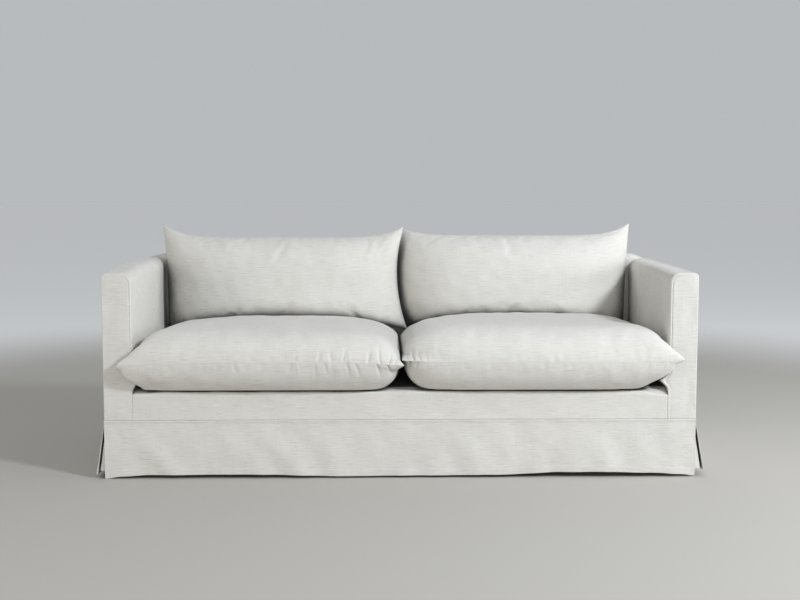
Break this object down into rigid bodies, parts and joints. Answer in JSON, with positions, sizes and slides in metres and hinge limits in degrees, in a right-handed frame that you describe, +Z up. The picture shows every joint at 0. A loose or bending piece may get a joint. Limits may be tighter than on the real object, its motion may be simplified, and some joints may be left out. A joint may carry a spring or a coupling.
{
  "type": "sofa slipcover with cushions",
  "caption": "Fitted floor-length linen slipcover for a square-armed sofa, hollow inside, with split-corner skirts, knife-edge seat cushions and leaning back cushions.",
  "frame": {"origin": "on the floor, under the middle of the cover and its cushions", "axes": "+X along the sofa towards the viewer's right, +Y towards the back of the sofa, +Z up"},
  "size_m": [2.1646, 0.97, 0.881],
  "materials": {
    "cover_linen": "matt heavy linen, off-white, slubbed plain weave",
    "cushion_linen": "matt heavy linen, off-white, slubbed plain weave"
  },
  "bodies": {
    "root": {"inside_arm_left": "cover_linen", "inside_arm_right": "cover_linen", "outside_arm_left": "cover_linen", "outside_arm_right": "cover_linen", "arm_front_left": "cover_linen", "arm_front_right": "cover_linen", "front_border": "cover_linen", "deck": "cover_linen", "inside_back": "cover_linen", "outside_back": "cover_linen", "skirt_front": "cover_linen", "skirt_back": "cover_linen", "skirt_left": "cover_linen", "skirt_right": "cover_linen", "underlay_front_left": "cover_linen", "underlay_front_right": "cover_linen", "underlay_rear_left": "cover_linen", "underlay_rear_right": "cover_linen", "seat_cushion_left": "cushion_linen", "seat_cushion_right": "cushion_linen", "back_cushion_left": "cushion_linen", "back_cushion_right": "cushion_linen"}
  },
  "joints": []
}
